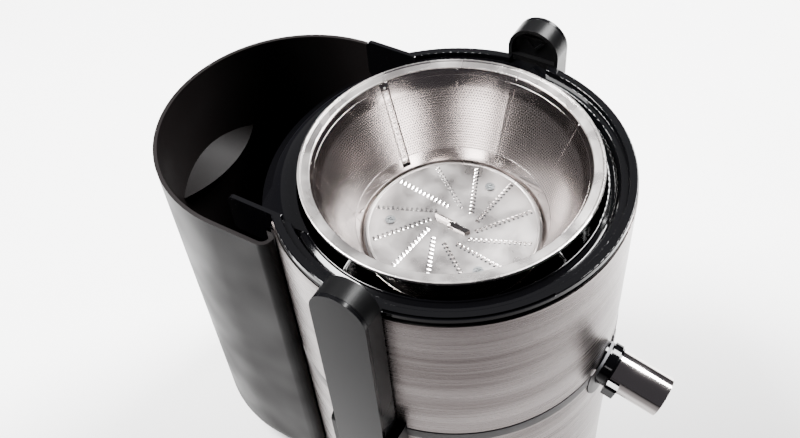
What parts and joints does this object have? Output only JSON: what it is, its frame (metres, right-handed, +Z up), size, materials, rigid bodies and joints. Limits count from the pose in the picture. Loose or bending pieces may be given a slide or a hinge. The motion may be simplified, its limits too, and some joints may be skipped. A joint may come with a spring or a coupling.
{
  "type": "centrifugal juicer",
  "caption": "Centrifugal juicer with steel body, lift-off bowl, spinning strainer basket, steel spout with drip stop, side clamp levers and pull-out pulp container.",
  "frame": {"origin": "on the table, in the middle of the foot ring, on the drive axis", "axes": "+Z up along the drive axis, -Y towards the juice spout, +Y towards the pulp container, +X towards the right clamp lever when the spout faces you"},
  "size_m": [0.2324, 0.3298, 0.2915],
  "materials": {
    "brushed_steel": "brushed, horizontal grain",
    "polished_steel": "polished",
    "mesh_steel": "etched and perforated sheet",
    "tool_steel": "satin",
    "zinc_steel": "zinc plated",
    "electrical_steel": "varnished laminations",
    "gloss_black": "gloss",
    "satin_black": "satin",
    "bin_plastic": "fine matte texture",
    "grey_plastic": "satin",
    "inner_plastic": "satin",
    "white_insert": "satin",
    "black_rubber": "matte",
    "silicone": "matte",
    "copper": "enamelled wire",
    "carbon": "matte",
    "brass": "satin"
  },
  "bodies": {
    "base": {"base_ring": "gloss_black", "foot_ring": "black_rubber", "bottom_cover": "inner_plastic", "bottom_screws": "zinc_steel", "motor_housing": "inner_plastic", "lower_steel_shell": "brushed_steel", "seam_ring": "grey_plastic", "motor_deck": "inner_plastic", "deck_seal": "black_rubber", "upper_bearing": "tool_steel", "lower_bearing": "tool_steel", "lower_motor_bracket": "zinc_steel", "upper_motor_bracket": "zinc_steel", "motor_mounts": "black_rubber", "motor_bolts": "zinc_steel", "stator_core": "electrical_steel", "stator_coils": "copper", "speed_switch": "satin_black", "knob_bezel": "gloss_black", "interlock_switches": "satin_black", "cord_gland": "satin_black", "clamp_pins": "zinc_steel", "brush_holders": "brass", "carbon_brushes": "carbon", "brush_springs": "zinc_steel", "clamp_bracket_left": "satin_black", "clamp_bracket_right": "satin_black"},
    "rotor": {"motor_shaft": "tool_steel", "armature_core": "electrical_steel", "armature_winding": "copper", "commutator": "copper", "cooling_fan": "inner_plastic", "drive_coupling": "satin_black"},
    "bowl": {"juice_bowl": "gloss_black", "bowl_rim": "gloss_black", "spout_boss": "gloss_black", "bowl_casing": "inner_plastic", "bowl_steel_band": "brushed_steel", "bowl_seal": "silicone", "spout_collar": "gloss_black", "spout_seal": "silicone"},
    "spout": {"spout_tube": "polished_steel", "spout_valve": "satin_black", "spout_lever": "gloss_black"},
    "strainer": {"strainer_rim": "polished_steel", "strainer_mesh": "mesh_steel", "strainer_foot": "polished_steel", "grater_disc": "brushed_steel", "grater_blade": "polished_steel", "grater_screws": "zinc_steel", "strainer_hub": "satin_black"},
    "pulp_container": {"pulp_container": "bin_plastic"},
    "clamp_left": {"clamp_arm_left": "satin_black", "clamp_cover_left": "gloss_black"},
    "clamp_right": {"clamp_arm_right": "satin_black", "clamp_cover_right": "gloss_black"},
    "knob": {"speed_knob": "gloss_black", "knob_pointer": "white_insert"}
  },
  "joints": [
    {"name": "motor_spin", "type": "hinge", "parent": "base", "child": "rotor", "pos_m": [0, 0, 0], "axis": [0, 0, 1], "continuous": true},
    {"name": "bowl_lift", "type": "slide", "parent": "base", "child": "bowl", "axis": [0, 0, 1], "range_m": [0, 0.14]},
    {"name": "strainer_spin", "type": "hinge", "parent": "bowl", "child": "strainer", "pos_m": [0, 0, 0], "axis": [0, 0, 1], "continuous": true},
    {"name": "drip_stop", "type": "hinge", "parent": "bowl", "child": "spout", "pos_m": [0, -0.1, 0.152], "axis": [0, -0.9641, -0.2656], "range_deg": [0, 90]},
    {"name": "container_slide", "type": "slide", "parent": "base", "child": "pulp_container", "axis": [0, 1, 0], "range_m": [0, 0.2]},
    {"name": "clamp_left_swing", "type": "hinge", "parent": "base", "child": "clamp_left", "pos_m": [-0.1075, -0.001, 0.14], "axis": [0, -1, 0], "range_deg": [0, 60]},
    {"name": "clamp_right_swing", "type": "hinge", "parent": "base", "child": "clamp_right", "pos_m": [0.1075, -0.001, 0.14], "axis": [0, 1, 0], "range_deg": [0, 60]},
    {"name": "knob_turn", "type": "hinge", "parent": "base", "child": "knob", "pos_m": [-0.1, 0, 0.062], "axis": [-1, 0, 0], "range_deg": [-45, 90]}
  ],
  "couplings": [
    {"joint": "strainer_spin", "follows": "motor_spin", "ratio": 1}
  ]
}
